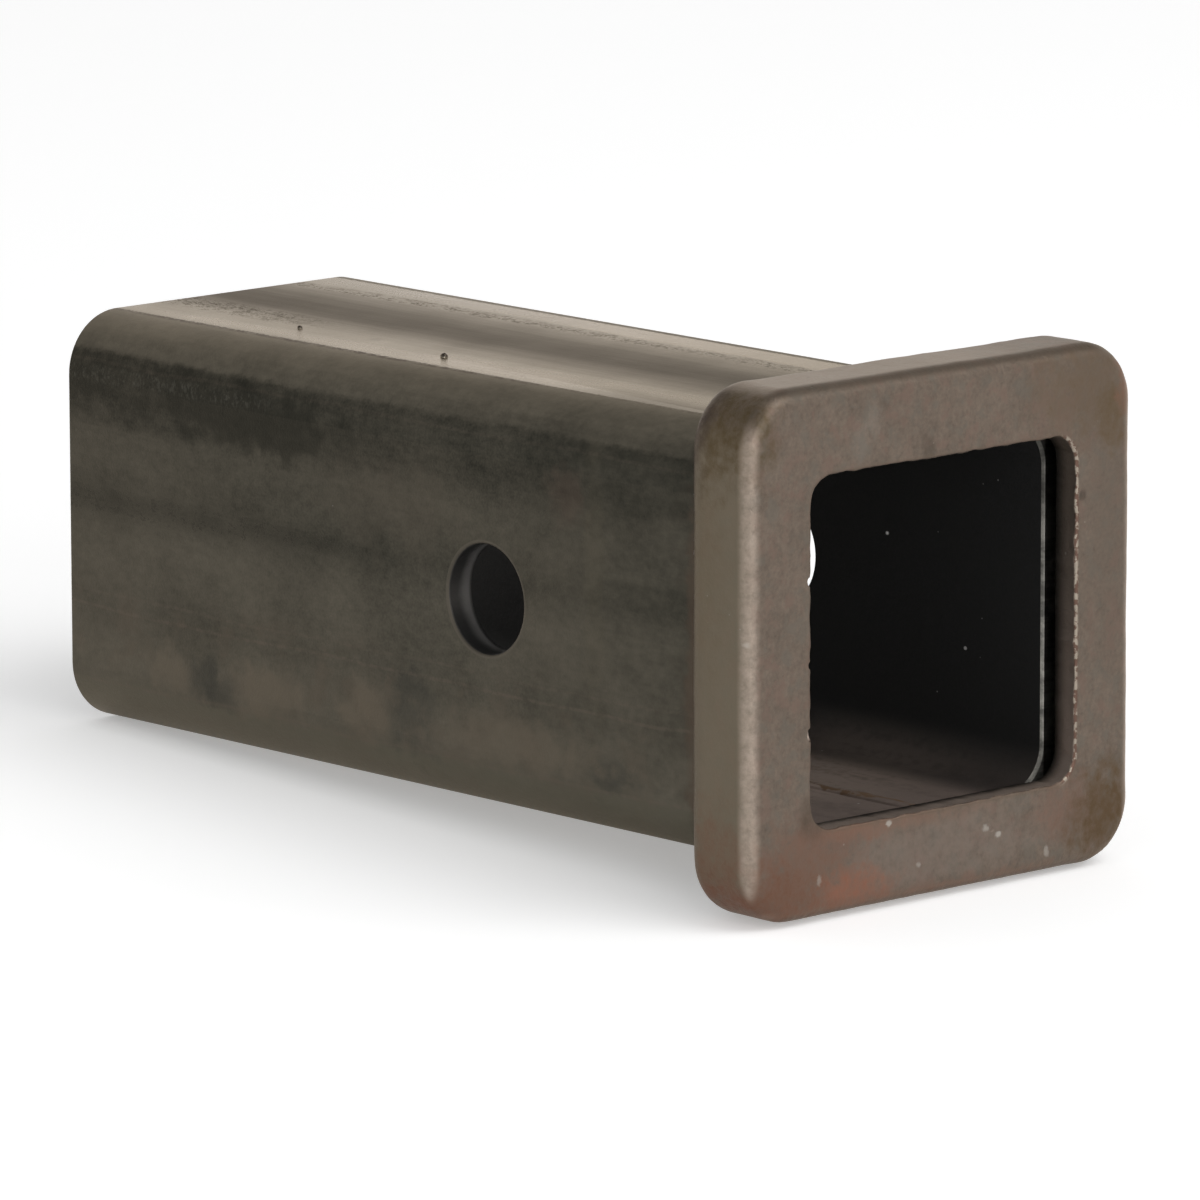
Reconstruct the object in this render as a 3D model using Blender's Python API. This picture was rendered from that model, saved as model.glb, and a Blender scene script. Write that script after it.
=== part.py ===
"""Receiver tube for a towing hitch: square steel tube with a forged collar round its mouth.

The tube has a cross hole for the hitch pin. It is welded into a vehicle's or trailer's crossbar, and a
square drawbar slides into its mouth. Lengths are in metres.

Frame: +X runs along the tube and out of its mouth, +Z is up, and the pin goes through along Y.
The origin lies on the collar's axis, half way along the whole part.
"""

from math import cos, pi, sin

import bmesh
import bpy

# Square tube
tube_size = 0.0635          # outside, from wall to wall
tube_wall = 0.0045
tube_length = 0.1524
tube_corner = 0.0094        # outer radius of the tube's four long corners
bore_corner = 0.0066        # inner radius of the same corners
tube_drop = 0.00065         # the tube sits this much below the collar's axis
saw_bevel = 0.0003          # broken edges of the two sawn ends
mouth_bevel = 0.0008        # wider bevel inside the front end, where a drawbar enters

# Flash of the tube's long seam weld, on the floor of its bore
seam_width = 0.0028
seam_height = 0.0005
seam_offset = 0.0033        # from the middle of the floor towards +Y

# Hitch pin hole, through both side walls
pin_hole = 0.0164
pin_from_face = 0.0641      # from the collar's front face to the hole's axis
pin_bevel = 0.0004
pin_flare = 0.001           # how far outside the walls the hole's cutter ends

# Forged collar
collar_wall = 0.0068        # from the pocket that holds the tube to the collar's outer sides
collar_depth = 0.0136
collar_corner = 0.0094      # radius of the outer corners, seen from the front
front_round = 0.0027        # rounding between the front face and the sides
back_round = 0.0031
side_overhang = 0.00075     # how far the opening's edge stands in past the tube's bore, at the sides
floor_overhang = 0.00155    # the same at top and bottom, so that a drawbar rides on the collar
opening_corner = 0.0042
opening_bevel = 0.0004
lip_depth = 0.0044          # the opening's length, from the front face to the pocket
tube_setback = 0.0076       # from the collar's front face back to the tube's front end
pocket_bevel = 0.0005

# Fillet weld between the tube and the collar's back
weld_leg = 0.0042
weld_crown = 0.0005         # how far the bead bulges past a straight fillet

seat_gap = 0.0003           # clearance between pieces that touch

# Facets
corner_steps = 12           # on each rounded corner, a quarter turn
round_steps = 6             # across each rounded edge of the collar
weld_steps = 6              # across the face of the bead
seam_steps = 6              # across the seam's flash
hole_steps = 64             # round the pin hole

# Sizes that follow
bore_size = tube_size - 2 * tube_wall
pocket_size = tube_size + 2 * seat_gap
collar_size = pocket_size + 2 * collar_wall
opening_width = bore_size - 2 * side_overhang
opening_height = bore_size - 2 * floor_overhang

# Stations along X
face_x = (tube_length + tube_setback) / 2
mouth_x = face_x - tube_setback
far_x = mouth_x - tube_length
lip_x = face_x - lip_depth
back_x = face_x - collar_depth
pin_x = face_x - pin_from_face


def clear_scene():
    for obj in list(bpy.data.objects):
        bpy.data.objects.remove(obj, do_unlink=True)


def steel(name, colour, roughness):
    material = bpy.data.materials.new(name)
    material.use_nodes = True
    shader = material.node_tree.nodes["Principled BSDF"]
    shader.inputs["Base Color"].default_value = (*colour, 1.0)
    shader.inputs["Metallic"].default_value = 0.8
    shader.inputs["Roughness"].default_value = roughness
    return material


def rounded_loop(x, width, height, radius, drop=0.0, lift=0.0):
    """Points round a rounded rectangle across X, with the seam's bump of height lift on its floor.

    Every loop has the same number of points, so any two of them can be joined by a strip of quads.
    """
    half_y = width / 2 - radius
    half_z = height / 2 - radius
    points = []
    for quarter, (side_y, side_z) in enumerate(((1, 1), (-1, 1), (-1, -1), (1, -1))):
        if quarter == 3:
            points += seam_points(x, -height / 2 - drop, lift)
        for step in range(corner_steps + 1):
            angle = pi / 2 * (quarter + step / corner_steps)
            y = side_y * half_y + radius * cos(angle)
            z = side_z * half_z + radius * sin(angle) - drop
            points.append((x, y, z))
    return points


def seam_points(x, floor_z, lift):
    points = []
    for step in range(seam_steps + 1):
        share = step / seam_steps
        y = seam_offset + seam_width * (share - 0.5)
        points.append((x, y, floor_z + lift * sin(pi * share)))
    return points


def loft_ring(name, loops, material):
    """A closed ring: each loop is joined to the next, and the last one to the first."""
    mesh = bpy.data.meshes.new(name)
    shape = bmesh.new()
    rows = [[shape.verts.new(point) for point in loop] for loop in loops]
    for row, following in zip(rows, rows[1:] + rows[:1]):
        for here in range(len(row)):
            there = (here + 1) % len(row)
            shape.faces.new((row[here], row[there], following[there], following[here]))
    bmesh.ops.recalc_face_normals(shape, faces=shape.faces)
    shape.to_mesh(mesh)
    shape.free()
    mesh.shade_smooth()
    mesh.set_sharp_from_angle(angle=pi / 6)
    mesh.materials.append(material)
    obj = bpy.data.objects.new(name, mesh)
    bpy.context.scene.collection.objects.link(obj)
    return obj


def pin_cutter():
    """A long pin shape that flares outside the tube, so that it bevels both holes as it cuts them."""
    wall_y = tube_size / 2
    radius = pin_hole / 2
    stations = (
        (wall_y + pin_flare, radius + pin_bevel + pin_flare),
        (wall_y - pin_bevel, radius),
        (pin_bevel - wall_y, radius),
        (-wall_y - pin_flare, radius + pin_bevel + pin_flare),
    )
    mesh = bpy.data.meshes.new("pin_cutter")
    shape = bmesh.new()
    rows = []
    for y, reach in stations:
        turn = [2 * pi * step / hole_steps for step in range(hole_steps)]
        rows.append([shape.verts.new((pin_x + reach * cos(a), y, reach * sin(a))) for a in turn])
    for row, following in zip(rows, rows[1:]):
        for here in range(hole_steps):
            there = (here + 1) % hole_steps
            shape.faces.new((row[here], row[there], following[there], following[here]))
    shape.faces.new(rows[0])
    shape.faces.new(rows[-1])
    bmesh.ops.recalc_face_normals(shape, faces=shape.faces)
    shape.to_mesh(mesh)
    shape.free()
    cutter = bpy.data.objects.new("pin_cutter", mesh)
    cutter.hide_render = True
    cutter.display_type = "WIRE"
    bpy.context.scene.collection.objects.link(cutter)
    return cutter


def build_tube():
    def outer(x, inset=0.0):
        size = tube_size - 2 * inset
        return rounded_loop(x, size, size, tube_corner - inset, tube_drop)

    def inner(x, outset=0.0):
        size = bore_size + 2 * outset
        return rounded_loop(x, size, size, bore_corner + outset, tube_drop, seam_height)

    loops = [
        outer(far_x, saw_bevel),
        outer(far_x + saw_bevel),
        outer(mouth_x - saw_bevel),
        outer(mouth_x, saw_bevel),
        inner(mouth_x, mouth_bevel),
        inner(mouth_x - mouth_bevel),
        inner(far_x + saw_bevel),
        inner(far_x, saw_bevel),
    ]
    tube = loft_ring("receiver_tube", loops, steel("mill_scale_steel", (0.17, 0.155, 0.13), 0.45))
    cut = tube.modifiers.new("pin_holes", "BOOLEAN")
    cut.operation = "DIFFERENCE"
    cut.solver = "EXACT"
    cut.object = pin_cutter()
    return tube


def build_collar():
    def outside(x, inset):
        size = collar_size - 2 * inset
        return rounded_loop(x, size, size, collar_corner - inset)

    def opening(x, outset=0.0):
        width = opening_width + 2 * outset
        height = opening_height + 2 * outset
        return rounded_loop(x, width, height, opening_corner + outset)

    def pocket(x, outset=0.0):
        size = pocket_size + 2 * outset
        return rounded_loop(x, size, size, tube_corner + seat_gap + outset, tube_drop)

    quarter = [pi / 2 * step / round_steps for step in range(round_steps + 1)]
    loops = [outside(face_x - front_round * (1 - cos(a)), front_round * (1 - sin(a))) for a in quarter]
    loops += [outside(back_x + back_round * (1 - sin(a)), back_round * (1 - cos(a))) for a in quarter]
    loops += [
        pocket(back_x, pocket_bevel),
        pocket(back_x + pocket_bevel),
        pocket(lip_x),
        opening(lip_x, opening_bevel),
        opening(lip_x + opening_bevel),
        opening(face_x - opening_bevel),
        opening(face_x, opening_bevel),
    ]
    return loft_ring("collar", loops, steel("forged_scale_steel", (0.22, 0.18, 0.15), 0.5))


def build_weld():
    def bead(behind, above):
        size = tube_size + 2 * above
        return rounded_loop(back_x - behind, size, size, tube_corner + above, tube_drop)

    loops = [bead(seat_gap, seat_gap)]
    for step in range(weld_steps + 1):
        share = step / weld_steps
        bulge = weld_crown * sin(pi * share)
        loops.append(bead(seat_gap + weld_leg * share + bulge, seat_gap + weld_leg * (1 - share) + bulge))
    return loft_ring("collar_weld", loops, steel("weld_steel", (0.16, 0.15, 0.14), 0.4))


clear_scene()
build_tube()
build_collar()
build_weld()
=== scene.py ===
"""Looks of a weld-on receiver tube: bare steel under mill scale, with a forged collar round its mouth."""

from math import cos, pi, radians, sin

import bmesh
import bpy
from mathutils import Euler, Matrix, Vector


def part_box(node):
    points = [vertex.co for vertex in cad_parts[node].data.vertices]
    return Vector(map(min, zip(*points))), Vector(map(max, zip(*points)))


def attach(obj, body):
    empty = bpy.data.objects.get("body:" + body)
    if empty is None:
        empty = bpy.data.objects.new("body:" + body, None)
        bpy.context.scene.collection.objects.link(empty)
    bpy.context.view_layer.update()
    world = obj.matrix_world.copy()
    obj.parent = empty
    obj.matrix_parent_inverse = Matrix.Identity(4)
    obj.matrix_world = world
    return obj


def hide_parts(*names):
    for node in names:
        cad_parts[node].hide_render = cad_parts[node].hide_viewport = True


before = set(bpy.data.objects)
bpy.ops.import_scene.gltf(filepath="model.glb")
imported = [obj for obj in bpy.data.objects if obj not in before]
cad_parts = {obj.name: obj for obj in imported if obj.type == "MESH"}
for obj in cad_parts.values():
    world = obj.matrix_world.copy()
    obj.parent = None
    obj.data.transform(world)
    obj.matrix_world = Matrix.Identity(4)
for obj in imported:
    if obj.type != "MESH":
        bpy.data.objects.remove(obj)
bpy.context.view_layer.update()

# Sizes in metres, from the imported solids
tube_low, tube_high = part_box("receiver_tube")
collar_low, collar_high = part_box("collar")
bead_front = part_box("collar_weld")[1].x
far_x = tube_low.x
mouth_x = tube_high.x
face_x = collar_high.x
back_x = collar_low.x
tube_half = (tube_high.y - tube_low.y) / 2
tube_z = (tube_high.z + tube_low.z) / 2

# Sizes of the tube that its box doesn't give
tube_wall = 0.0045
tube_corner = 0.0094
bore_corner = 0.0066
bore_half = tube_half - tube_wall
saw_bevel = 0.0003
mouth_bevel = 0.0004
pin_x = 0.0159
pin_radius = 0.0082
pin_round = 0.0005
seam_y = 0.0033
seam_half = 0.0014
seam_height = 0.0005
flat_margin = 0.0004        # from the end of the corner's round to the first row of points on a wall

# Sizes of the collar
collar_corner = 0.0094
front_round = 0.0027
back_round = 0.0031
opening_y = 0.0265
opening_z = 0.0257
opening_corner = 0.0042
opening_round = 0.0005
lip_x = face_x - 0.0044
seat_gap = 0.0003
pocket_half = tube_half + seat_gap
pocket_bevel = 0.0005
floor_gap = 0.0002          # between the collar's lowest line and the floor
rim_reach = 0.0008          # how far from the opening's walls its rim is cut finer
rim_over = 0.001            # how far the finer rows run past its corners, and start before the lip's back
flash_start = lip_x + 0.0005        # the opening's wall is rough from here to the face
rim_pitch = 0.0005          # between the rows of points round the opening's edge
face_pitch = 0.0012         # the same on the collar's faces
depth_pitch = 0.0013        # the same along its depth

# Sizes of the weld bead
ripple_pitch = 0.0021
ripple_radii = (0.0034, 0.0016, 0.0017)
ripple_out = 0.0015         # how far the ripples' middles lie outside the tube
ripple_back = 0.0012        # how far they lie behind the bead's front end
ripple_lean = radians(-45)
ripple_sweep = radians(14)
bead_grid = 0.00045         # pitch of the mesh that fuses the ripples
bead_sunk = 0.00005         # how far the bead reaches into the tube and the collar
skin_depth = 0.0005         # how far from its seat the bead is fully rough

tiny = 1e-6                 # lengths that differ by less are equal
bevel_turn = radians(45)
round_turn = radians(72)    # a rounded edge turns this far, and then it runs on straight


# Modelling

def only(*objects):
    """Selects these objects and nothing else, with the last one active."""
    bpy.ops.object.select_all(action="DESELECT")
    for obj in objects:
        obj.select_set(True)
    bpy.context.view_layer.objects.active = objects[-1]


def added(name):
    """Names the object that a primitive operator has just made, with its place in its mesh."""
    obj = bpy.context.active_object
    obj.name = name
    obj.data.name = name
    only(obj)
    bpy.ops.object.transform_apply(location=True, rotation=True, scale=True)
    return obj


def block(name, low, high):
    low, high = Vector(low), Vector(high)
    bpy.ops.mesh.primitive_cube_add(size=1, location=(low + high) / 2, scale=high - low)
    return added(name)


def pick(obj, kind, wanted):
    """Enters edit mode with the wanted edges or faces of obj selected, and nothing else."""
    only(obj)
    bpy.ops.object.mode_set(mode="EDIT")
    bpy.ops.mesh.select_mode(type=kind)
    bpy.ops.mesh.select_all(action="DESELECT")
    shape = bmesh.from_edit_mesh(obj.data)
    for item in shape.edges if kind == "EDGE" else shape.faces:
        item.select_set(wanted(item))
    bmesh.update_edit_mesh(obj.data)


def leave_edit():
    bpy.ops.object.mode_set(mode="OBJECT")


def bevel_edges(obj, wanted, width, steps):
    pick(obj, "EDGE", wanted)
    bpy.ops.mesh.bevel(offset=width, segments=steps, profile=0.5, clamp_overlap=False)
    leave_edit()


def runs_along_x(edge):
    a, b = (corner.co for corner in edge.verts)
    return abs(a.y - b.y) < tiny and abs(a.z - b.z) < tiny


def lies_at_x(x):
    return lambda edge: all(abs(corner.co.x - x) < tiny for corner in edge.verts)


def flare(cutter, outward, end, half_size, radius, steps=4):
    """Widens one end of a cutter, so that the hole it cuts gets a rounded edge, or a bevel if steps is 1."""
    turn = round_turn if steps > 1 else bevel_turn
    growing = Vector([0 if part else 1 for part in outward])
    middle = sum((v.co for v in cutter.data.vertices), Vector()) / len(cutter.data.vertices)
    pick(cutter, "FACE", lambda face: abs(face.calc_center_median().dot(outward) - end) < tiny)
    reach, size = 0.0, half_size
    stations = []
    if steps > 1:
        for step in range(1, steps + 1):
            angle = turn * step / steps
            stations.append((radius * sin(angle), half_size + radius * (1 - cos(angle))))
    last_reach, last_size = stations[-1] if stations else (0.0, half_size)
    run_on = 2 * radius
    stations.append((last_reach + run_on * cos(turn), last_size + run_on * sin(turn)))
    for next_reach, next_size in stations:
        step_out = outward * (next_reach - reach)
        grow = growing * (next_size / size) + Vector([abs(part) for part in outward])
        bpy.ops.mesh.extrude_region_move(TRANSFORM_OT_translate={"value": step_out})
        bpy.ops.transform.resize(value=grow, center_override=middle)
        reach, size = next_reach, next_size
    leave_edit()


def boolean(body, tool, operation):
    modifier = body.modifiers.new(operation.lower(), "BOOLEAN")
    modifier.operation = operation
    modifier.solver = "EXACT"
    modifier.object = tool
    only(body)
    bpy.ops.object.modifier_apply(modifier=modifier.name)
    bpy.data.objects.remove(tool, do_unlink=True)


def slice_across(obj, axis, stations, wanted=None):
    """Cuts obj's faces, or the wanted ones, by planes across one axis, so that it has points to displace."""
    only(obj)
    bpy.ops.object.mode_set(mode="EDIT")
    bpy.ops.mesh.select_mode(type="FACE")
    normal = Vector([1.0 if part == axis else 0.0 for part in range(3)])
    for station in stations:
        bpy.ops.mesh.select_all(action="DESELECT" if wanted else "SELECT")
        if wanted:
            shape = bmesh.from_edit_mesh(obj.data)
            for face in shape.faces:
                face.select_set(wanted(face.calc_center_median()))
            bmesh.update_edit_mesh(obj.data)
        bpy.ops.mesh.bisect(plane_co=normal * station, plane_no=normal)
    leave_edit()


def even_stations(low, high, pitch):
    count = round((high - low) / pitch)
    return [low + (high - low) * (step + 0.5) / count for step in range(count)]


def roughen(obj, scale, depth, strength, group="", level=0.5):
    """Moves obj's points along their normals by a cloud pattern, both ways, or only inwards if level is 1."""
    pattern = bpy.data.textures.new(obj.name + "_clouds", "CLOUDS")
    pattern.noise_scale = scale
    pattern.noise_depth = depth
    modifier = obj.modifiers.new("roughen", "DISPLACE")
    modifier.texture = pattern
    modifier.texture_coords = "LOCAL"
    modifier.strength = strength
    modifier.mid_level = level
    modifier.vertex_group = group
    only(obj)
    bpy.ops.object.modifier_apply(modifier=modifier.name)


def group_points(obj, name, weight_at):
    """Makes a vertex group whose weight at each point is what weight_at gives there."""
    group = obj.vertex_groups.new(name=name)
    for corner in obj.data.vertices:
        weight = weight_at(corner.co)
        if weight > 0:
            group.add([corner.index], weight, "REPLACE")
    return name


def smooth(obj, angle=30):
    only(obj)
    bpy.ops.object.shade_smooth_by_angle(angle=radians(angle))


def lumps(name, places, uneven):
    """Small uneven balls, to join on or to cut away. Each place is a centre and three radii, in metres."""
    balls = []
    for centre, radii in places:
        bpy.ops.mesh.primitive_ico_sphere_add(subdivisions=3, radius=1, location=centre, scale=radii)
        balls.append(added(name))
        roughen(balls[-1], scale=0.0009, depth=1, strength=uneven)
    only(*balls)
    bpy.ops.object.join()
    return bpy.context.active_object


# The tube

def bore_cutter():
    low = (far_x + saw_bevel, -bore_half, tube_z - bore_half)
    high = (mouth_x - mouth_bevel, bore_half, tube_z + bore_half)
    cutter = block("bore_cutter", low, high)
    bevel_edges(cutter, runs_along_x, bore_corner, 14)
    flare(cutter, Vector((1, 0, 0)), high[0], bore_half, mouth_bevel, steps=1)
    flare(cutter, Vector((-1, 0, 0)), -low[0], bore_half, saw_bevel, steps=1)
    return cutter


def pin_cutter():
    reach = tube_half - pin_round
    bpy.ops.mesh.primitive_cylinder_add(
        vertices=96, radius=pin_radius, depth=2 * reach, location=(pin_x, 0, 0), rotation=(pi / 2, 0, 0)
    )
    cutter = added("pin_cutter")
    for side in (1, -1):
        flare(cutter, Vector((0, side, 0)), reach, pin_radius, pin_round)
    return cutter


def seam_flash():
    """The uneven ridge that the long seam weld leaves on the floor of the bore."""
    start, stop = far_x + 2 * saw_bevel, mouth_x - 1.5 * mouth_bevel
    floor_z = tube_z - bore_half
    middle = ((start + stop) / 2, seam_y, floor_z)
    bpy.ops.mesh.primitive_cylinder_add(
        vertices=14, radius=1, depth=1, location=middle, rotation=(0, pi / 2, 0)
    )
    bpy.context.active_object.scale = (seam_height, seam_half, stop - start)
    ridge = added("seam_flash")
    pick(ridge, "EDGE", runs_along_x)
    bpy.ops.mesh.subdivide(number_cuts=150)
    leave_edit()
    roughen(ridge, scale=0.004, depth=2, strength=0.0007)
    return ridge


def build_tube():
    tube = block("tube_shell", tube_low, tube_high)
    bevel_edges(tube, runs_along_x, tube_corner, 20)
    for x in (far_x, mouth_x):
        bevel_edges(tube, lies_at_x(x), saw_bevel, 2)
    boolean(tube, bore_cutter(), "DIFFERENCE")
    boolean(tube, pin_cutter(), "DIFFERENCE")
    boolean(tube, seam_flash(), "UNION")
    top = tube_high.z
    spatter = [
        ((-0.0455, -0.0145, top), (0.00042, 0.00040, 0.00045)),
        ((-0.0105, -0.0163, top), (0.00062, 0.00060, 0.00065)),
    ]
    boolean(tube, lumps("spatter", spatter, uneven=0.0002), "UNION")
    flat = tube_half - tube_corner - flat_margin
    slice_across(tube, 1, (-flat, flat))
    slice_across(tube, 2, (tube_z - flat, tube_z + flat))
    smooth(tube)
    return tube


# The collar

def build_collar():
    collar = block("collar_forging", collar_low, collar_high)
    bevel_edges(collar, runs_along_x, collar_corner, 20)
    bevel_edges(collar, lies_at_x(face_x), front_round, 8)
    bevel_edges(collar, lies_at_x(back_x), back_round, 8)

    pocket = block(
        "pocket",
        (back_x + pocket_bevel, -pocket_half, tube_z - pocket_half),
        (lip_x, pocket_half, tube_z + pocket_half),
    )
    bevel_edges(pocket, runs_along_x, tube_corner + seat_gap, 16)
    flare(pocket, Vector((-1, 0, 0)), -(back_x + pocket_bevel), pocket_half, pocket_bevel)
    boolean(collar, pocket, "DIFFERENCE")

    opening = block(
        "opening",
        (lip_x - pocket_bevel, -opening_y, -opening_z),
        (face_x - opening_round, opening_y, opening_z),
    )
    bevel_edges(opening, runs_along_x, opening_corner, 12)
    flare(opening, Vector((1, 0, 0)), face_x - opening_round, opening_y, opening_round)
    boolean(collar, opening, "DIFFERENCE")

    nicks = [
        ((face_x - 0.0003, -opening_y - 0.0003, 0.0107), (0.0009, 0.0006, 0.0007)),
        ((face_x - 0.0005, -opening_y - 0.0002, -0.0014), (0.0009, 0.0005, 0.0006)),
        ((face_x - 0.0003, -opening_y - 0.0003, -0.0115), (0.0008, 0.0006, 0.0010)),
        ((face_x, 0.0098, -0.0305), (0.0002, 0.0007, 0.0005)),
        ((face_x, 0.0120, -0.0312), (0.0002, 0.0004, 0.0003)),
        ((face_x, -0.0062, -0.0334), (0.0002, 0.0004, 0.0003)),
    ]

    def on_rim(middle):
        beside = abs(abs(middle.y) - opening_y) < rim_reach and abs(middle.z) < opening_z + rim_over
        above = abs(abs(middle.z) - opening_z) < rim_reach and abs(middle.y) < opening_y + rim_over
        return middle.x > lip_x + rim_over and (beside or above)

    slice_across(collar, 2, even_stations(-opening_z, opening_z, rim_pitch), on_rim)
    slice_across(collar, 1, even_stations(-opening_y, opening_y, rim_pitch), on_rim)
    slice_across(collar, 1, even_stations(collar_low.y, collar_high.y, face_pitch))
    slice_across(collar, 2, even_stations(collar_low.z, collar_high.z, face_pitch))
    slice_across(collar, 0, even_stations(back_x, face_x, depth_pitch))

    def inside_rim(point):
        beyond = max(abs(point.y) - opening_y, abs(point.z) - opening_z)
        behind = (face_x - point.x) / opening_round
        return min(1.0, behind) if point.x > flash_start and beyond < opening_round else 0.0

    roughen(collar, scale=0.016, depth=1, strength=0.00022, level=0.9)
    roughen(collar, scale=0.0032, depth=2, strength=0.00013, level=0.9)
    flash = group_points(collar, "flash", inside_rim)
    roughen(collar, scale=0.0024, depth=2, strength=0.00055, group=flash, level=0.35)
    boolean(collar, lumps("nicks", nicks, uneven=0.0003), "DIFFERENCE")
    smooth(collar)
    return collar


# The weld bead

def bead_places(pitch):
    """Places, and turns about X, along the rounded square that the bead follows round the tube."""
    half = tube_half - tube_corner
    reach = tube_corner + ripple_out
    quarter = pi / 2 * reach
    side = 2 * half
    count = round(4 * (side + quarter) / pitch)
    places = []
    for step in range(count):
        run = 4 * (side + quarter) * step / count
        number, along = divmod(run, side + quarter)
        turn = pi / 2 * number
        if along < side:
            y, z, lean = along - half, half + reach, 0.0
        else:
            lean = (along - side) / reach
            y, z = half + reach * sin(lean), half + reach * cos(lean)
        turned = Matrix.Rotation(-turn, 3, "X") @ Vector((0, y, z))
        places.append((turned.y, turned.z + tube_z, -turn - lean))
    return places


def build_bead():
    """Overlapping ripples of weld metal, fused into one bead and trimmed to its seat."""
    ripples = []
    slant = Matrix.Rotation(ripple_lean, 3, "Y") @ Matrix.Rotation(ripple_sweep, 3, "Z")
    for y, z, turn in bead_places(ripple_pitch):
        turned = (Matrix.Rotation(turn, 3, "X") @ slant).to_euler()
        bpy.ops.mesh.primitive_uv_sphere_add(
            segments=16, ring_count=10, radius=1, location=(bead_front - ripple_back, y, z),
            rotation=turned, scale=ripple_radii,
        )
        ripples.append(added("ripple"))
    only(*ripples)
    bpy.ops.object.join()
    bead = bpy.context.active_object
    bead.name = "weld_bead"
    bead.data.name = "weld_bead"
    fuse = bead.modifiers.new("fuse", "REMESH")
    fuse.mode = "VOXEL"
    fuse.voxel_size = bead_grid
    bpy.ops.object.modifier_apply(modifier="fuse")
    seat, stop = tube_half - bead_sunk, back_x + bead_sunk
    past, wide = 0.02, 0.06
    core = block("core", (back_x - past, -seat, tube_z - seat), (back_x + past, seat, tube_z + seat))
    bevel_edges(core, runs_along_x, tube_corner - bead_sunk, 16)
    boolean(bead, core, "DIFFERENCE")
    wall = block("wall", (stop, -wide, -wide), (stop + past, wide, wide))
    boolean(bead, wall, "DIFFERENCE")

    def off_the_seat(point):
        beyond = max(abs(point.y), abs(point.z - tube_z)) - seat
        return min(1.0, max(0.0, min(beyond, stop - point.x) / skin_depth))

    skin = group_points(bead, "skin", off_the_seat)
    roughen(bead, scale=0.0025, depth=2, strength=0.00025, group=skin)
    smooth(bead, 60)
    return bead


# Shader building blocks

def put(tree, kind, **settings):
    node = tree.nodes.new(kind)
    for name, value in settings.items():
        setattr(node, name, value)
    return node


def feed(tree, socket, value):
    """Connects a socket to another one, or sets its value."""
    if isinstance(value, bpy.types.NodeSocket):
        tree.links.new(value, socket)
    else:
        socket.default_value = value


def calc(tree, operation, *values, clamp=False):
    node = put(tree, "ShaderNodeMath", operation=operation, use_clamp=clamp)
    for socket, value in zip(node.inputs, values):
        feed(tree, socket, value)
    return node.outputs[0]


def blend(tree, share, first, second):
    """A colour between two others. Colours that are written here have three linear parts."""
    node = put(tree, "ShaderNodeMix", data_type="RGBA")
    feed(tree, node.inputs["Factor"], share)
    for socket, colour in ((node.inputs["A"], first), (node.inputs["B"], second)):
        feed(tree, socket, (*colour, 1) if isinstance(colour, tuple) else colour)
    return node.outputs["Result"]


def between(tree, share, first, second):
    node = put(tree, "ShaderNodeMix", data_type="FLOAT")
    for name, value in (("Factor", share), ("A", first), ("B", second)):
        feed(tree, node.inputs[name], value)
    return node.outputs["Result"]


def step_up(tree, value, low, high):
    """0 below low, 1 above high, and smooth between them."""
    node = put(tree, "ShaderNodeMapRange", interpolation_type="SMOOTHSTEP")
    for name, number in (("Value", value), ("From Min", low), ("From Max", high)):
        feed(tree, node.inputs[name], number)
    return node.outputs["Result"]


def step_down(tree, value, low, high):
    return calc(tree, "SUBTRACT", 1.0, step_up(tree, value, low, high))


def near(tree, value, middle, inner, outer):
    """1 where value is within inner of middle, 0 beyond outer, and smooth between them."""
    return step_down(tree, calc(tree, "ABSOLUTE", plus(tree, value, -middle)), inner, outer)


def both(tree, *masks):
    result = masks[0]
    for mask in masks[1:]:
        result = calc(tree, "MULTIPLY", result, mask)
    return result


def curve(tree, value, stops):
    """A height that runs smoothly through the stops, which are pairs of place and height, as value rises."""
    low, high = stops[0][0], stops[-1][0]
    share = put(tree, "ShaderNodeMapRange")
    for name, number in (("Value", value), ("From Min", low), ("From Max", high)):
        feed(tree, share.inputs[name], number)
    ramp = put(tree, "ShaderNodeValToRGB")
    ramp.color_ramp.interpolation = "EASE"
    points = ramp.color_ramp.elements
    for place, height in stops[1:-1]:
        points.new((place - low) / (high - low))
    for point, (place, height) in zip(points, stops):
        point.color = (height, height, height, 1)
    tree.links.new(share.outputs["Result"], ramp.inputs["Fac"])
    return ramp.outputs["Color"]


def clouds(tree, place, scale, detail=3.0, roughness=0.5, stretch=None):
    """A noise pattern round 0. Scale is in features per millimetre."""
    if stretch:
        squeeze = put(tree, "ShaderNodeVectorMath", operation="MULTIPLY")
        feed(tree, squeeze.inputs[0], place)
        squeeze.inputs[1].default_value = stretch
        place = squeeze.outputs[0]
    node = put(tree, "ShaderNodeTexNoise")
    feed(tree, node.inputs["Vector"], place)
    feed(tree, node.inputs["Scale"], scale)
    node.inputs["Detail"].default_value = detail
    node.inputs["Roughness"].default_value = roughness
    return calc(tree, "SUBTRACT", node.outputs["Fac"], 0.5)


def times(tree, value, factor):
    return calc(tree, "MULTIPLY", value, factor)


def plus(tree, *values):
    result = values[0]
    for value in values[1:]:
        result = calc(tree, "ADD", result, value)
    return result


def plus_vector(tree, place, offset):
    node = put(tree, "ShaderNodeVectorMath", operation="ADD")
    tree.links.new(place, node.inputs[0])
    node.inputs[1].default_value = offset
    return node.outputs[0]


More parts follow.
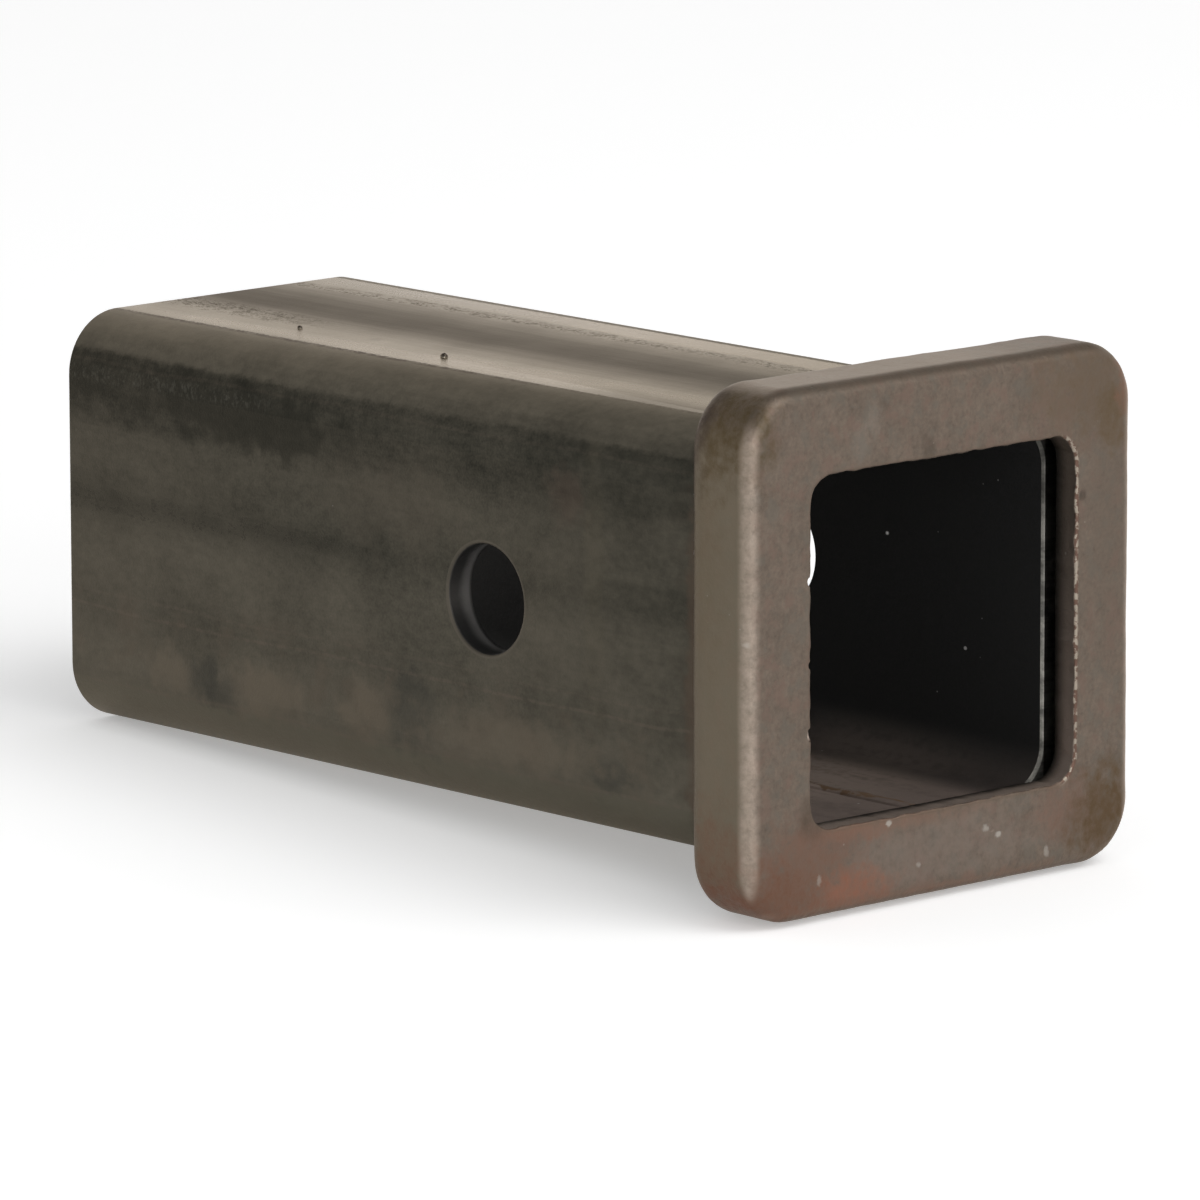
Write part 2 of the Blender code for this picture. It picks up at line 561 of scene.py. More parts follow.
def millimetres(tree):
    """The object's own coordinates in millimetres, as a vector and as its three parts."""
    place = put(tree, "ShaderNodeTexCoord").outputs["Object"]
    scaled = put(tree, "ShaderNodeVectorMath", operation="SCALE")
    tree.links.new(place, scaled.inputs[0])
    scaled.inputs["Scale"].default_value = 1000
    parts = put(tree, "ShaderNodeSeparateXYZ")
    tree.links.new(scaled.outputs[0], parts.inputs[0])
    return scaled.outputs[0], parts.outputs["X"], parts.outputs["Y"], parts.outputs["Z"]


# Effects that the finishes share

def new_group(name, inputs, outputs):
    tree = bpy.data.node_groups.new(name, "ShaderNodeTree")
    for label, kind in inputs:
        tree.interface.new_socket(label, in_out="INPUT", socket_type="NodeSocket" + kind)
    for label, kind in outputs:
        tree.interface.new_socket(label, in_out="OUTPUT", socket_type="NodeSocket" + kind)
    return tree, put(tree, "NodeGroupInput").outputs, put(tree, "NodeGroupOutput").inputs


def make_patch():
    """A patch on the surface: 1 inside, 0 outside. The noise that it is given makes its edge ragged."""
    tree, given, made = new_group(
        "ragged_patch",
        [("Place", "Vector"), ("Centre", "Vector"), ("Size", "Vector"), ("Noise", "Float"),
         ("Ragged", "Float"), ("Softness", "Float")],
        [("Mask", "Float")],
    )
    offset = put(tree, "ShaderNodeVectorMath", operation="SUBTRACT")
    tree.links.new(given["Place"], offset.inputs[0])
    tree.links.new(given["Centre"], offset.inputs[1])
    share = put(tree, "ShaderNodeVectorMath", operation="DIVIDE")
    tree.links.new(offset.outputs[0], share.inputs[0])
    tree.links.new(given["Size"], share.inputs[1])
    distance = put(tree, "ShaderNodeVectorMath", operation="LENGTH")
    tree.links.new(share.outputs[0], distance.inputs[0])
    edge = plus(tree, distance.outputs["Value"], times(tree, given["Noise"], given["Ragged"]))
    low = calc(tree, "SUBTRACT", 1.0, given["Softness"])
    tree.links.new(step_down(tree, edge, low, plus(tree, 1.0, given["Softness"])), made["Mask"])
    return tree


def make_specks():
    """Scattered small round specks. Size is the largest radius, and Share is how many of them show."""
    tree, given, made = new_group(
        "specks",
        [("Place", "Vector"), ("Density", "Float"), ("Size", "Float"), ("Share", "Float")],
        [("Mask", "Float")],
    )
    cells = put(tree, "ShaderNodeTexVoronoi")
    tree.links.new(given["Place"], cells.inputs["Vector"])
    tree.links.new(given["Density"], cells.inputs["Scale"])
    parts = put(tree, "ShaderNodeSeparateColor")
    tree.links.new(cells.outputs["Color"], parts.inputs[0])
    size = both(tree, given["Size"], given["Density"], parts.outputs["Green"])
    inside = step_down(tree, cells.outputs["Distance"], times(tree, size, 0.5), size)
    shown = calc(tree, "LESS_THAN", parts.outputs["Red"], given["Share"])
    tree.links.new(both(tree, inside, shown), made["Mask"])
    return tree


def make_grain():
    """Soft blotches and fine grain of scaled steel, each round 0, and the height that both give."""
    tree, given, made = new_group(
        "steel_grain",
        [("Place", "Vector"), ("Blotch", "Float"), ("Grain", "Float")],
        [("Blotches", "Float"), ("Grain", "Float"), ("Height", "Float")],
    )
    blotches = clouds(tree, given["Place"], given["Blotch"], 4, 0.55)
    grain = clouds(tree, given["Place"], given["Grain"], 4, 0.65)
    tree.links.new(blotches, made["Blotches"])
    tree.links.new(grain, made["Grain"])
    tree.links.new(plus(tree, times(tree, grain, 0.7), times(tree, blotches, 0.5)), made["Height"])
    return tree


ragged_patch = make_patch()
specks = make_specks()
steel_grain = make_grain()


def patch(tree, place, centre, size, noise, ragged, softness):
    node = put(tree, "ShaderNodeGroup", node_tree=ragged_patch)
    for name, value in (
        ("Place", place), ("Centre", centre), ("Size", size), ("Noise", noise), ("Ragged", ragged),
        ("Softness", softness),
    ):
        feed(tree, node.inputs[name], value)
    return node.outputs["Mask"]


def speckle(tree, place, density, size, share):
    node = put(tree, "ShaderNodeGroup", node_tree=specks)
    tree.links.new(place, node.inputs["Place"])
    for name, value in (("Density", density), ("Size", size), ("Share", share)):
        node.inputs[name].default_value = value
    return node.outputs["Mask"]


def grain_of(tree, place, blotch, grain):
    node = put(tree, "ShaderNodeGroup", node_tree=steel_grain)
    tree.links.new(place, node.inputs["Place"])
    node.inputs["Blotch"].default_value = blotch
    node.inputs["Grain"].default_value = grain
    return node.outputs["Blotches"], node.outputs["Grain"], node.outputs["Height"]


def new_material(name):
    material = bpy.data.materials.new(name)
    material.use_nodes = True
    tree = material.node_tree
    return material, tree, tree.nodes["Principled BSDF"]


def raise_surface(tree, shader, height, strength, distance):
    bump = put(tree, "ShaderNodeBump")
    bump.inputs["Strength"].default_value = strength
    bump.inputs["Distance"].default_value = distance
    tree.links.new(height, bump.inputs["Height"])
    tree.links.new(bump.outputs["Normal"], shader.inputs["Normal"])


# Finishes

warm_sheen = (1.0, 0.91, 0.81, 1)
darkest_scale = (0.013, 0.0145, 0.012)
dark_grey = (0.030, 0.032, 0.029)
light_brown = (0.120, 0.101, 0.076)


def mill_scale():
    """The tube: dark rolled scale, in bands along its length, with bare metal where it was cut. A highlight
    is painted on the upper corners' rounds, a lighter band on the pin hole's wall, and light and shade in the
    bore.
    """
    material, tree, shader = new_material("mill_scale")
    place, x, y, z = millimetres(tree)
    half = tube_half * 1000
    up = calc(tree, "SUBTRACT", z, tube_z * 1000)
    high = calc(tree, "ABSOLUTE", up)
    wide = calc(tree, "ABSOLUTE", y)
    blotches, grain, height = grain_of(tree, place, 0.07, 2.4)
    streaks = clouds(tree, place, 0.30, 4, 0.6, (0.06, 1, 1))
    scratches = clouds(tree, place, 1.7, 3, 0.6, (0.03, 1, 1))
    small_blotches = clouds(tree, place, 0.22, 3, 0.55, (0.6, 1, 1))
    mottle = clouds(tree, place, 0.75, 3, 0.6, (0.7, 1, 1))
    patch_noise = clouds(tree, place, 0.26, 4, 0.6)
    broken = step_up(tree, mottle, -0.06, 0.06)

    # Where the surface is: in the bore, on a sawn end, on the flat top, or on the pin hole's wall or rim
    bore = bore_half * 1000
    end = (mouth_x - far_x) / 2 * 1000
    outermost = calc(tree, "MAXIMUM", wide, high)
    inside = step_down(tree, outermost, bore + 0.15, bore + 0.45)
    from_middle = calc(tree, "ABSOLUTE", plus(tree, x, -1000 * (far_x + mouth_x) / 2))
    bore_edge = both(
        tree,
        step_up(tree, from_middle, end - 0.48, end - 0.38),
        step_down(tree, outermost, bore + 0.35, bore + 0.45),
    )
    cut_end = calc(tree, "MAXIMUM", bore_edge, step_up(tree, from_middle, end - 0.35, end - 0.25))
    flat_top = both(
        tree,
        step_up(tree, high, half - 0.20, half - 0.05),
        step_down(tree, plus(tree, wide, times(tree, grain, 1.2)), 21.9, 22.5),
    )
    beside_hole = plus(tree, x, -1000 * pin_x)
    pin_reach = calc(tree, "SQRT", plus(tree, times(tree, beside_hole, beside_hole), times(tree, z, z)))
    hole = pin_radius * 1000
    pin_wall = step_down(tree, pin_reach, hole + 0.05, hole + 0.15)
    pin_rim = both(
        tree,
        step_down(tree, pin_reach, hole + 0.5, hole + 0.7),
        step_up(tree, wide, half - 0.55, half - 0.35),
    )

    # The top, lighter and glossier towards its edges and darker along its middle
    across = plus(tree, y, times(tree, streaks, 5.0))
    polish = curve(tree, across, [
        (-22.4, 0.82), (-19.0, 0.88), (-14.0, 0.75), (-10.0, 0.56), (-6.0, 0.32), (-1.5, 0.05), (2.5, 0.07),
        (6.0, 0.20), (10.0, 0.42), (14.0, 0.68), (18.5, 0.93), (22.4, 1.00),
    ])
    near_collar = both(tree, step_up(tree, x, 12, 44), step_down(tree, y, -20.5, -15))
    polish = plus(tree, polish, times(tree, near_collar, -0.42))
    polish = plus(tree, polish, times(tree, blotches, 0.30), times(tree, scratches, 0.22))
    polish = plus(tree, polish, times(tree, grain, 0.20), times(tree, plus(tree, x, 40), 0.0014))

    # The sides, in bands from the bottom to the top. Over the round of the upper corner the tone rises
    # towards the top: a painted highlight where the round turns up to the light.
    down = plus(tree, up, times(tree, streaks, 4.0), times(tree, small_blotches, 2.0))
    side_tone = curve(tree, down, [
        (-31.8, 0.47), (-27.0, 0.54), (-22.0, 0.46), (-18.0, 0.41), (-13.0, 0.34), (-8.0, 0.38),
        (-2.5, 0.38), (1.5, 0.31), (4.0, 0.22), (6.5, 0.26), (10.0, 0.31), (14.0, 0.31), (20.0, 0.29),
        (25.5, 0.32), (28.0, 0.50), (30.5, 0.80), (31.8, 0.88),
    ])
    band_bottom = plus(tree, up, times(tree, small_blotches, 12.0), times(tree, streaks, 5.0))
    dark_band = both(
        tree,
        step_down(tree, plus(tree, up, times(tree, mottle, 0.8)), 26.3, 27.3),
        step_up(tree, band_bottom, 13.5, 20.0),
        between(tree, step_up(tree, x, -42, -8), 1.05, 0.55),
    )
    tone = plus(tree, side_tone, times(tree, dark_band, -0.23))
    tone = plus(tree, tone, times(tree, blotches, 0.34), times(tree, small_blotches, 0.18))
    fine = between(tree, step_up(tree, x, 18, 40), 0.38, 0.16)
    on_corner = step_up(tree, up, 24, 30)
    tone = plus(tree, tone, times(tree, scratches, 0.07), both(tree, grain, fine))
    tone = plus(tree, tone, both(tree, mottle, between(tree, on_corner, 0.27, 0.45)))
    side_colour = blend(tree, calc(tree, "MAXIMUM", tone, 0.0), darkest_scale, (0.180, 0.160, 0.124))

    # Stains on the sides
    brown = step_up(tree, clouds(tree, place, 0.13, 4, 0.6), -0.02, 0.14)
    brown = both(tree, brown, step_down(tree, up, -14, -6))
    side_colour = blend(tree, times(tree, brown, 0.35), side_colour, (0.092, 0.074, 0.056))
    low_green = step_down(tree, plus(tree, up, times(tree, mottle, 4.0)), -25.5, -23.5)
    side_colour = blend(tree, times(tree, low_green, 0.60), side_colour, (0.104, 0.097, 0.073))
    for centre, size, share, colour in (
        ((-48.4, -half, -20.8), (3.4, 4, 3.4), 0.55, dark_grey),
        ((-44.4, -half, -22.6), (3.6, 4, 2.4), 0.45, dark_grey),
        ((-0.5, -half, -19.5), (5.5, 4, 5.5), 0.45, dark_grey),
        ((43.0, -half, -22.4), (4.5, 4, 2.4), 0.45, dark_grey),
        ((-34.0, -half, -21.0), (6.5, 4, 4.0), 0.70, light_brown),
        ((-11.0, -half, -20.5), (4.8, 4, 3.8), 0.70, light_brown),
        ((22.0, -half, -21.0), (16.0, 4, 3.4), 0.55, light_brown),
        ((-56.0, -half, -20.8), (4.0, 4, 3.4), 0.60, light_brown),
        ((-38.0, -half, 20.0), (20.0, 5, 4.2), 0.70, darkest_scale),
        ((-5.0, -half, 11.0), (13.0, 4, 6.5), 0.25, (0.094, 0.080, 0.062)),
        ((34.0, -half, 17.5), (3.4, 4, 4.4), 0.28, (0.085, 0.058, 0.046)),
        ((39.5, -half, 8.0), (2.0, 4, 20.0), 0.15, (0.095, 0.082, 0.056)),
        ((65.0, -half, 2.0), (6.0, 9, 40.0), 0.40, (0.040, 0.034, 0.027)),
        ((61.0, -half, -4.0), (1.6, 4, 24.0), 0.35, (0.095, 0.062, 0.044)),
    ):
        mask = patch(tree, place, centre, size, patch_noise, 3.0, 0.55)
        side_colour = blend(tree, times(tree, mask, share), side_colour, colour)

    # Marks rolled along the sides
    grooved = both(tree, near(tree, down, 3.8, 1.0, 3.0), step_down(tree, x, -26, -4))
    grooves = both(tree, step_up(tree, plus(tree, grain, mottle), 0.05, 0.16), grooved)
    side_colour = blend(tree, times(tree, grooves, 0.6), side_colour, (0.026, 0.025, 0.021))
    ticked = both(tree, near(tree, up, 23.4, 0.7, 1.7), step_down(tree, x, -38, -28))
    ticks = both(tree, step_up(tree, clouds(tree, place, 1.6, 3, 0.7, (1, 1, 0.6)), -0.02, 0.16), ticked)
    side_colour = blend(tree, times(tree, ticks, 0.40), side_colour, (0.080, 0.078, 0.066))
    wander = times(tree, clouds(tree, place, 0.10, 2, 0.5, (0.4, 1, 1)), 2.0)
    for height_at, share in ((-13.0, 0.26), (-10.6, 0.14), (-24.3, 0.24), (25.2, 0.10)):
        line = near(tree, plus(tree, up, wander), height_at, 0.10, 0.38)
        line = both(tree, line, plus(tree, 0.45, times(tree, broken, 0.55)))
        side_colour = blend(tree, times(tree, line, share), side_colour, (0.125, 0.098, 0.078))

    top_colour = blend(tree, polish, (0.100, 0.087, 0.070), (0.252, 0.226, 0.184))
    colour = blend(tree, flat_top, side_colour, top_colour)

    # The dark line between the top and the round of the corner, and what lies on the top
    edge_line = near(tree, plus(tree, wide, times(tree, grain, 2.0)), 22.7, 0.30, 1.00)
    along = between(tree, near(tree, x, -33, 22, 60), 0.35, 0.95)
    along = both(tree, along, between(tree, step_up(tree, y, -1, 1), 1.0, 0.45))
    speckled = step_up(tree, plus(tree, mottle, grain), -0.10, 0.08)
    edge_line = both(tree, edge_line, step_up(tree, up, 31.0, 31.3), speckled, along)
    colour = blend(tree, edge_line, colour, (0.034, 0.022, 0.014))

    pit_lines = plus(
        tree,
        near(tree, plus(tree, y, times(tree, streaks, 6.0)), 14.0, 0.6, 2.4),
        both(tree, near(tree, y, -10.0, 2.0, 5.0), step_down(tree, x, -60, -40)),
    )
    pitting = step_up(tree, plus(tree, times(tree, mottle, 0.6), grain), 0.0, 0.14)
    pits = both(tree, pitting, pit_lines, step_up(tree, up, 31.5, 31.7))
    colour = blend(tree, times(tree, pits, 0.26), colour, (0.060, 0.046, 0.036))
    fleck_noise = clouds(tree, place, 0.9, 4, 0.6)
    smear = patch(tree, place, (-29.6, -13.1, 31.1), (1.3, 1.0, 0.8), fleck_noise, 1.5, 0.5)
    colour = blend(tree, times(tree, smear, 0.35), colour, (0.060, 0.050, 0.036))
    raised = step_up(tree, up, half + 0.06, half + 0.16)
    colour = blend(tree, raised, colour, (0.060, 0.050, 0.040))

    # The bore: its dark scale painted darker still, near black, as the shade inside the tube. Its floor
    # towards the mouth has a brown film, painted lighter nearer the mouth as the light that falls in there
    reach = plus(tree, x, times(tree, y, -0.1), times(tree, small_blotches, 6.0))
    film_and_light_mask = both(
        tree,
        step_down(tree, up, -27.1, -20.5),
        between(tree, step_up(tree, wide, 14, 22), 1.0, 0.36),
        step_up(tree, reach, 14, 30),
    )
    film_and_light_colour = blend(tree, step_up(tree, reach, 36, 66), (0.325, 0.256, 0.213), (0.138, 0.107, 0.092))
    film_worn = step_up(tree, plus(tree, mottle, streaks), -0.10, 0.30)
    film_and_light_colour = blend(tree, times(tree, film_worn, 0.45), film_and_light_colour, (0.070, 0.054, 0.045))
    seam_wander = plus(tree, y, times(tree, clouds(tree, place, 0.14, 2, 0.5), 6.0))
    seam_stain = near(tree, seam_wander, 1000 * seam_y, 0.30, 0.95)
    film_and_light_colour = blend(tree, both(tree, seam_stain, plus(tree, 0.3, broken)), film_and_light_colour, (0.115, 0.070, 0.040))
    inner = blend(tree, film_and_light_mask, (0.0178, 0.0190, 0.0202), film_and_light_colour)
    colour = blend(tree, inside, colour, inner)
    colour = blend(tree, times(tree, pin_rim, 0.5), colour, (0.110, 0.096, 0.078))
    # The pin hole's wall: dark, with a lighter band towards its inner edge painted on as a highlight
    pin_wall_highlight = both(
        tree,
        step_down(tree, plus(tree, wide, times(tree, small_blotches, 1.5)), bore + 0.75, bore + 2.75),
        step_up(tree, wide, bore + 0.05, bore + 0.65),
    )
    pin_wall_shading = blend(tree, pin_wall_highlight, (0.018, 0.018, 0.018), (0.105, 0.102, 0.098))
    colour = blend(tree, pin_wall, colour, pin_wall_shading)

    # The sawn ends, and the bevel at the mouth
    saw_marks = clouds(tree, place, 2.6, 3, 0.6, (1, 0.06, 1))
    at_mouth = step_up(tree, x, -1, 1)
    stained = times(tree, small_blotches, between(tree, at_mouth, 0.5, 4.0))
    cleaned = plus(tree, 0.42, saw_marks, stained)
    bare = blend(tree, cleaned, (0.070, 0.066, 0.057), (0.190, 0.180, 0.156))
    bevel = blend(tree, cleaned, (0.140, 0.136, 0.124), (0.440, 0.425, 0.385))
    bare = blend(tree, both(tree, bore_edge, at_mouth), bare, bevel)
    in_shade = both(tree, at_mouth, step_up(tree, z, 0, 18))
    bare = blend(tree, times(tree, in_shade, 0.60), bare, (0.030, 0.029, 0.026))
    colour = blend(tree, cut_end, colour, bare)

    # Dust, and two flecks on the bore's wall
    dust = speckle(tree, place, 0.16, 0.22, 0.10)
    bore_dust = both(tree, speckle(tree, place, 0.32, 0.30, 0.16), inside)
    dust = calc(tree, "MAXIMUM", dust, bore_dust)
    colour = blend(tree, times(tree, dust, 0.8), colour, (0.35, 0.34, 0.33))
    flecks = 0.0
    for centre, shade in (((39.6, 27.2, 5.7), 0.95), ((56.3, 27.2, -9.4), 0.45)):
        fleck = patch(tree, place, centre, (0.30, 0.6, 0.25), fleck_noise, 1.0, 0.4)
        colour = blend(tree, fleck, colour, (shade, 0.98 * shade, 0.95 * shade))
        flecks = plus(tree, fleck, flecks)
    feed(tree, shader.inputs["Base Color"], colour)

    # Gloss and relief
    rough = between(tree, flat_top, 0.50, between(tree, polish, 0.60, 0.22))
    rough = between(tree, inside, rough, 0.7)
    rough = between(tree, pin_wall, rough, 0.45)
    rough = plus(tree, rough, times(tree, grain, 0.2), times(tree, pits, 0.3))
    feed(tree, shader.inputs["Roughness"], rough)
    matt = both(tree, inside, plus(tree, between(tree, film_and_light_mask, 0.5, 1.0), flecks))
    matt = calc(tree, "MAXIMUM", matt, pin_wall)
    matt = both(tree, matt, calc(tree, "SUBTRACT", 1.0, cut_end))
    feed(tree, shader.inputs["Metallic"], calc(tree, "SUBTRACT", 1.0, matt, clamp=True))
    shader.inputs["Specular Tint"].default_value = warm_sheen
    surface = plus(tree, height, times(tree, scratches, 0.2), times(tree, mottle, 0.6))
    surface = plus(tree, surface, times(tree, pits, -0.8), times(tree, grooves, -1.0))
    surface = times(tree, surface, between(tree, cut_end, 1.0, 0.3))
    raise_surface(tree, shader, surface, 0.5, 0.0001)
    return material


def forged_scale():
    """The collar: brown-grey forging scale with rust, tints and small chips, and light and shade painted on
    its edges, top, rim, lip and pocket.
    """
    material, tree, shader = new_material("forged_scale")
    place, x, y, z = millimetres(tree)
    edge_y, edge_z, face = collar_high.y * 1000, collar_high.z * 1000, face_x * 1000
    blotches, grain, height = grain_of(tree, place, 0.16, 1.6)
    mottle = clouds(tree, place, 0.55, 4, 0.65)
    tint = clouds(tree, place, 0.33, 4, 0.6)
    patch_noise = clouds(tree, place, 0.42, 4, 0.6)
    fleck_noise = clouds(tree, place, 1.1, 4, 0.6)

    out_y = calc(tree, "ABSOLUTE", y)
    out_z = calc(tree, "ABSOLUTE", z)

    # Scale all over, greener on the sides and darker at the back
    tone = plus(tree, 0.5, times(tree, blotches, 0.7), times(tree, mottle, 1.2), times(tree, grain, 1.4))
    colour = blend(tree, calc(tree, "MAXIMUM", tone, 0.0), (0.094, 0.073, 0.057), (0.180, 0.140, 0.110))
    colour = blend(tree, times(tree, step_up(tree, tint, 0.02, 0.14), 0.45), colour, (0.160, 0.104, 0.082))
    colour = blend(tree, times(tree, step_up(tree, tint, -0.02, -0.14), 0.40), colour, (0.114, 0.106, 0.088))
    side = step_up(tree, out_y, edge_y - 1.6, edge_y - 0.3)
    colour = blend(tree, times(tree, side, 0.7), colour, (0.134, 0.112, 0.075))
    rear = back_x * 1000
    back = step_down(tree, plus(tree, x, times(tree, mottle, 2.0)), rear + 0.5, rear + 4.5)
    colour = blend(tree, times(tree, back, 0.35), colour, (0.062, 0.047, 0.036))

    # Rust, tints and pale flecks
    for centre, size, share, colour_at in (
        ((face, -2.0, -32.0), (3.0, 20.0, 5.0), 0.45, (0.195, 0.155, 0.130)),
        ((face, 33.5, 18.0), (3.0, 6.0, 26.0), 0.35, (0.110, 0.085, 0.065)),
        ((face, 29.0, 32.5), (3.0, 10.0, 7.0), 0.70, (0.118, 0.083, 0.055)),
        ((face, -27.5, -30.5), (4.0, 9.0, 6.0), 0.75, (0.150, 0.086, 0.060)),
        ((face, -22.0, -27.0), (3.0, 8.0, 2.6), 0.60, (0.165, 0.096, 0.070)),
        ((face, -26.0, -24.0), (2.0, 2.4, 3.0), 0.60, (0.068, 0.054, 0.040)),
        ((face, -18.5, -35.0), (3.0, 6.5, 2.6), 0.80, (0.225, 0.098, 0.062)),
        ((face - 2, -33.0, -35.5), (6.0, 8.0, 5.0), 0.80, (0.140, 0.070, 0.045)),
        ((face, -10.0, -38.5), (9.0, 30.0, 1.8), 0.60, (0.180, 0.090, 0.060)),
        ((face, 25.0, -29.5), (3.0, 5.5, 4.0), 0.55, (0.165, 0.094, 0.068)),
        ((face, 33.5, -32.0), (4.0, 7.0, 7.0), 0.95, (0.090, 0.056, 0.029)),
        ((face, 33.8, 28.0), (3.0, 2.8, 4.5), 0.80, (0.105, 0.072, 0.042)),
        ((face, 28.0, 16.5), (2.0, 0.8, 0.7), 0.60, (0.045, 0.036, 0.028)),
        ((face, -3.4, 27.2), (2.0, 1.2, 1.6), 0.45, (0.050, 0.040, 0.030)),
        ((face, -10.0, -26.6), (3.0, 14.0, 1.4), 0.45, (0.190, 0.105, 0.072)),
        ((face - 1, 37.0, 33.0), (4.0, 1.8, 5.0), 0.55, (0.200, 0.095, 0.065)),
        ((73.5, -36.5, 33.0), (6.5, 5.0, 7.5), 0.90, (0.078, 0.054, 0.026)),
        ((67.7, -36.3, 33.5), (2.8, 6.0, 8.0), 0.80, (0.050, 0.036, 0.030)),
        ((70.0, -38.8, 14.0), (4.0, 3.0, 14.0), 0.30, (0.100, 0.074, 0.042)),
        ((72.0, -38.8, -31.0), (7.0, 3.0, 8.0), 0.70, (0.135, 0.078, 0.050)),
        ((72.5, -37.0, -36.0), (5.0, 3.0, 3.0), 0.85, (0.150, 0.062, 0.036)),
    ):
        mask = patch(tree, place, centre, size, patch_noise, 2.2, 0.6)
        mask = both(tree, mask, plus(tree, 0.9, times(tree, mottle, 2.2)))
        colour = blend(tree, times(tree, mask, share), colour, colour_at)
    for centre, size, share in (
        ((face, -14.2, 33.0), (2.0, 1.2, 2.4), 0.10),
        ((face, -17.0, 29.8), (2.0, 1.4, 2.6), 0.08),
        ((face - 1.2, -38.2, 2.9), (0.9, 0.4, 0.4), 0.90),
        ((face, 8.4, -30.2), (0.9, 0.5, 0.4), 0.60),
        ((face, 11.0, -31.5), (0.9, 0.5, 0.4), 0.80),
        ((face, -5.2, -33.6), (0.9, 0.4, 0.4), 0.50),
        ((face, -11.1, -26.6), (0.9, 0.5, 0.4), 0.80),
        ((face, 20.9, -35.4), (0.9, 0.4, 0.7), 0.50),
        ((face, -25.0, -33.1), (0.9, 0.4, 0.6), 0.40),
    ):
        mask = patch(tree, place, centre, size, fleck_noise, 3.0, 0.6)
        colour = blend(tree, times(tree, mask, share), colour, (0.38, 0.35, 0.31))

    # The outer edges, and the top, with light and shade painted on them
    on_outer = step_up(tree, calc(tree, "MAXIMUM", out_y, out_z), edge_y - 2.65, edge_y - 0.8)
    rounded = both(tree, on_outer, step_up(tree, x, face - 3.0, face - 1.2))
    # A highlight painted down the rounds between the front and the sides
    painted_edge_highlight = both(
        tree,
        rounded,
        step_up(tree, out_y, edge_y - 7.0, edge_y - 2.0),
        plus(tree, 1.0, times(tree, mottle, 1.8), times(tree, grain, 0.9)),
    )
    lit = between(tree, step_up(tree, z, -25, 25), 0.62, 0.54)
    colour = blend(tree, both(tree, painted_edge_highlight, lit), colour, (0.390, 0.320, 0.264))
    # Shade painted along the front's top and bottom rounds
    painted_shade_front_top = both(
        tree,
        rounded,
        step_up(tree, out_z, edge_z - 1.6, edge_z - 0.8),
        step_down(tree, out_y, 30, 36),
    )
    colour = blend(tree, times(tree, painted_shade_front_top, 0.55), colour, (0.070, 0.053, 0.038))
    # The top and bottom faces painted lighter, as lit from above, less so towards +Y
    painted_top_light = both(
        tree,
        step_up(tree, out_z, edge_z - 1.4, edge_z - 0.1),
        step_down(tree, x, face - 3.6, face - 1.6),
    )
    far_less = between(tree, step_up(tree, y, 5, 27), 0.70, 0.0)
    colour = blend(tree, both(tree, painted_top_light, far_less), colour, (0.270, 0.222, 0.180))

    # The opening's rim and lip, and the pocket behind them, with light and shade painted on
    corner_y = calc(tree, "MAXIMUM", plus(tree, out_y, -1000 * (opening_y - opening_corner)), 0.0)
    corner_z = calc(tree, "MAXIMUM", plus(tree, out_z, -1000 * (opening_z - opening_corner)), 0.0)
    reach = calc(tree, "SQRT", plus(tree, times(tree, corner_y, corner_y), times(tree, corner_z, corner_z)))
    reach = plus(tree, reach, -1000 * opening_corner)
    right = step_up(tree, y, 23.2, 25.0)
    rim = both(tree, step_down(tree, reach, 0.35, 0.80), step_up(tree, x, face - 0.9, face - 0.6))
    lumpy = step_up(tree, clouds(tree, place, 1.1, 3, 0.6), -0.03, 0.07)
    # The right side of the rim painted bright and beaded, as a highlight
    rim_highlight_colour = blend(tree, lumpy, (0.120, 0.070, 0.052), (0.310, 0.265, 0.215))
    colour = blend(tree, times(tree, rim, 0.40), colour, (0.120, 0.084, 0.060))
    colour = blend(tree, both(tree, rim, right), colour, rim_highlight_colour)
    lip = both(tree, step_down(tree, x, face - 0.55, face - 0.30), step_down(tree, reach, 0.25, 0.55))
    # The lip's walls painted lighter low down, as light falling in, and near black towards the lip's back, as
    # shade
    lip_light_and_shade = blend(tree, step_up(tree, z, -25, 18), (0.370, 0.296, 0.250), (0.165, 0.132, 0.106))
    lip_back = lip_x * 1000
    lip_light_and_shade = blend(tree, step_up(tree, x, lip_back, face - 1.6), (0.016, 0.014, 0.012), lip_light_and_shade)
    colour = blend(tree, lip, colour, lip_light_and_shade)
    # The pocket behind the lip painted near black, as the shade in it
    seat = pocket_half * 1000
    pocket = both(
        tree,
        step_down(tree, x, lip_back + 0.1, lip_back + 0.3),
        step_up(tree, x, rear + 0.3, rear + 0.6),
        step_down(tree, out_y, seat + 0.25, seat + 0.55),
        near(tree, z, tube_z * 1000, seat + 0.25, seat + 0.55),
    )
    colour = blend(tree, pocket, colour, (0.007, 0.007, 0.006))

    # Chips and pits
    chips = speckle(tree, place, 0.45, 0.30, 0.14)
    colour = blend(tree, times(tree, chips, 0.50), colour, (0.30, 0.27, 0.24))
    pits = speckle(tree, plus_vector(tree, place, (7.3, 2.1, 5.7)), 0.35, 0.45, 0.12)
    colour = blend(tree, times(tree, pits, 0.6), colour, (0.055, 0.042, 0.032))
    feed(tree, shader.inputs["Base Color"], colour)

